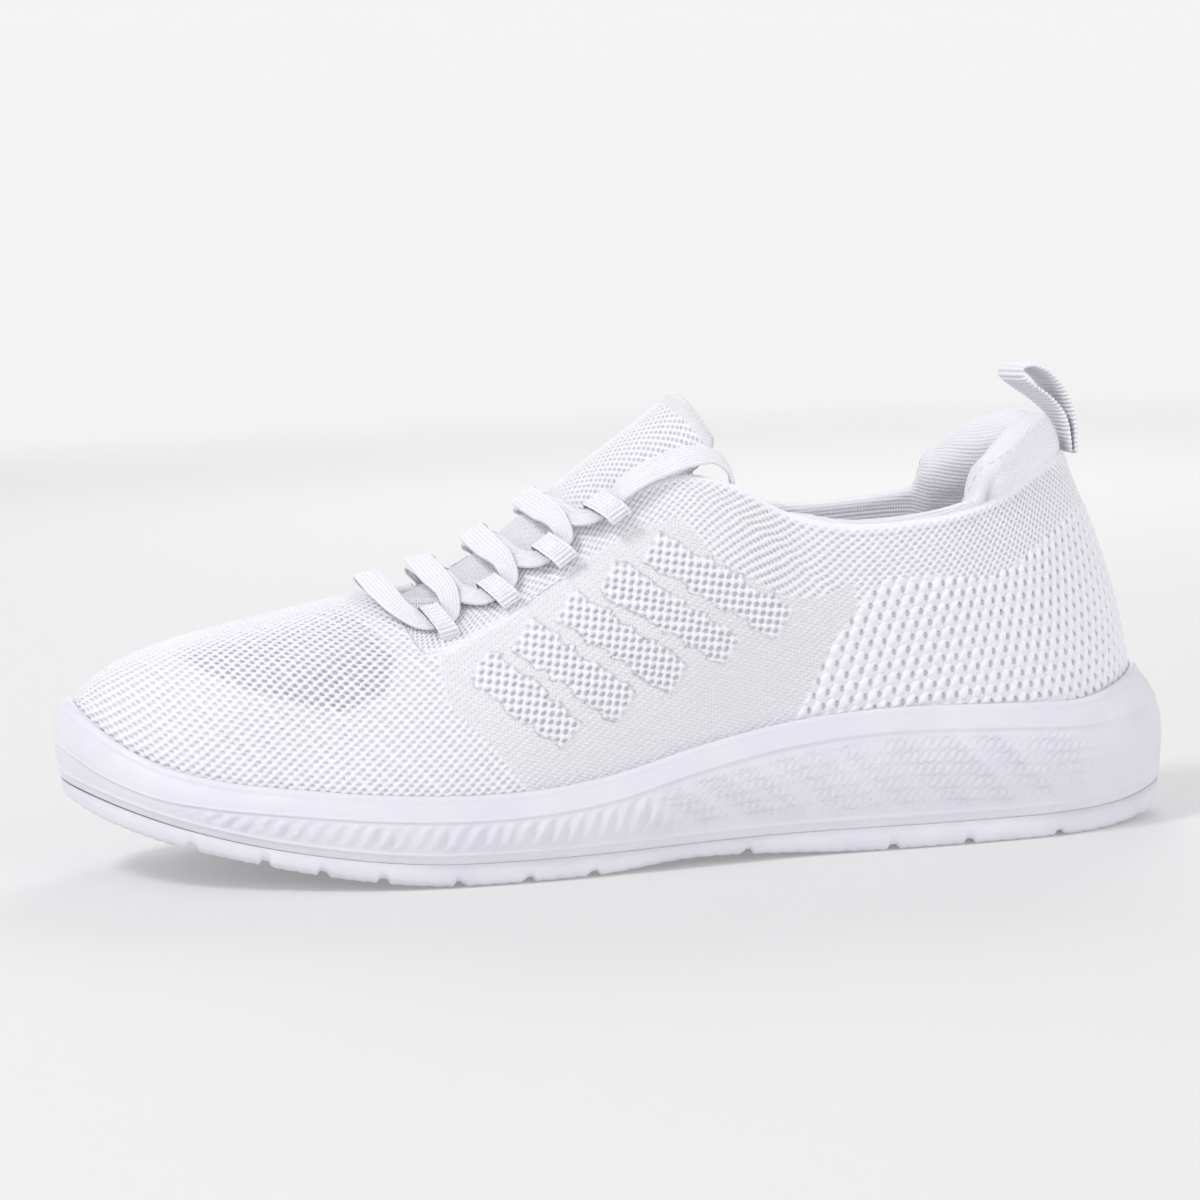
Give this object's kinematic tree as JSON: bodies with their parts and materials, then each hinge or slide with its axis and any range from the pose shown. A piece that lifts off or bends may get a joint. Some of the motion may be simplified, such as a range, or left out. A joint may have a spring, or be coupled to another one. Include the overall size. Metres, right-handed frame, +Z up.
{
  "type": "running shoe",
  "caption": "Slip-on knitted running shoe for the left foot, with a cup midsole, rubber outsole, elastic flat lace in knitted bands, padded collar and pull loop.",
  "frame": {"origin": "on the ground under the middle of the shoe's bounding box", "axes": "+Z up, toe towards -X, heel towards +X, outer (lateral) side of the left foot towards -Y, inner (medial) side towards +Y"},
  "size_m": [0.3018, 0.1053, 0.1252],
  "materials": {
    "outsole_rubber": "matt moulded white rubber",
    "midsole_foam": "satin moulded white EVA foam with a fine side texture",
    "board": "off-white non-woven board",
    "counter_plastic": "thermoformed stiffener sheet",
    "soft_foam": "open-cell foam",
    "lining_cloth": "fine ribbed white lining cloth",
    "knit": "white jacquard knit",
    "tongue_knit": "white honeycomb knit",
    "tape": "white reinforcing tape",
    "lace_ribbon": "flat ribbed elastic ribbon",
    "band_knit": "knitted yarn band",
    "webbing": "ribbed woven webbing"
  },
  "bodies": {
    "shoe": {"outsole": "outsole_rubber", "midsole": "midsole_foam", "strobel_board": "board", "knit_upper": "knit", "toe_puff": "board", "heel_counter": "counter_plastic", "eyestay_tape_lateral": "tape", "eyestay_tape_medial": "tape", "quarter_lining": "lining_cloth", "collar_foam_lateral": "soft_foam", "collar_foam_medial": "soft_foam", "tongue_base": "tongue_knit", "lace": "lace_ribbon", "lace_band_lateral_1": "band_knit", "lace_band_lateral_2": "band_knit", "lace_band_lateral_3": "band_knit", "lace_band_lateral_4": "band_knit", "lace_band_medial_1": "band_knit", "lace_band_medial_2": "band_knit", "lace_band_medial_3": "band_knit", "lace_band_medial_4": "band_knit", "pull_loop_sewn_end": "webbing"},
    "tab": {"tongue_tab": "tongue_knit"},
    "loop": {"pull_loop": "webbing"},
    "sockliner": {"sockliner_foam": "soft_foam", "sockliner_cloth": "lining_cloth"}
  },
  "joints": [
    {"name": "tongue_tab_tilt", "type": "hinge", "parent": "shoe", "child": "tab", "pos_m": [-0.005, 0, 0.088], "axis": [0, 1, 0], "range_deg": [0, 18], "stiffness_Nm_per_rad": 0.05, "springref_deg": -5.73},
    {"name": "pull_loop_swing", "type": "hinge", "parent": "shoe", "child": "loop", "pos_m": [0.1176, 0, 0.1121], "axis": [0, 1, 0], "range_deg": [-34, 8], "stiffness_Nm_per_rad": 0.02},
    {"name": "sockliner_lift", "type": "hinge", "parent": "shoe", "child": "sockliner", "pos_m": [-0.139, 0, 0.0365], "axis": [0, -1, 0], "range_deg": [0, 4]}
  ]
}
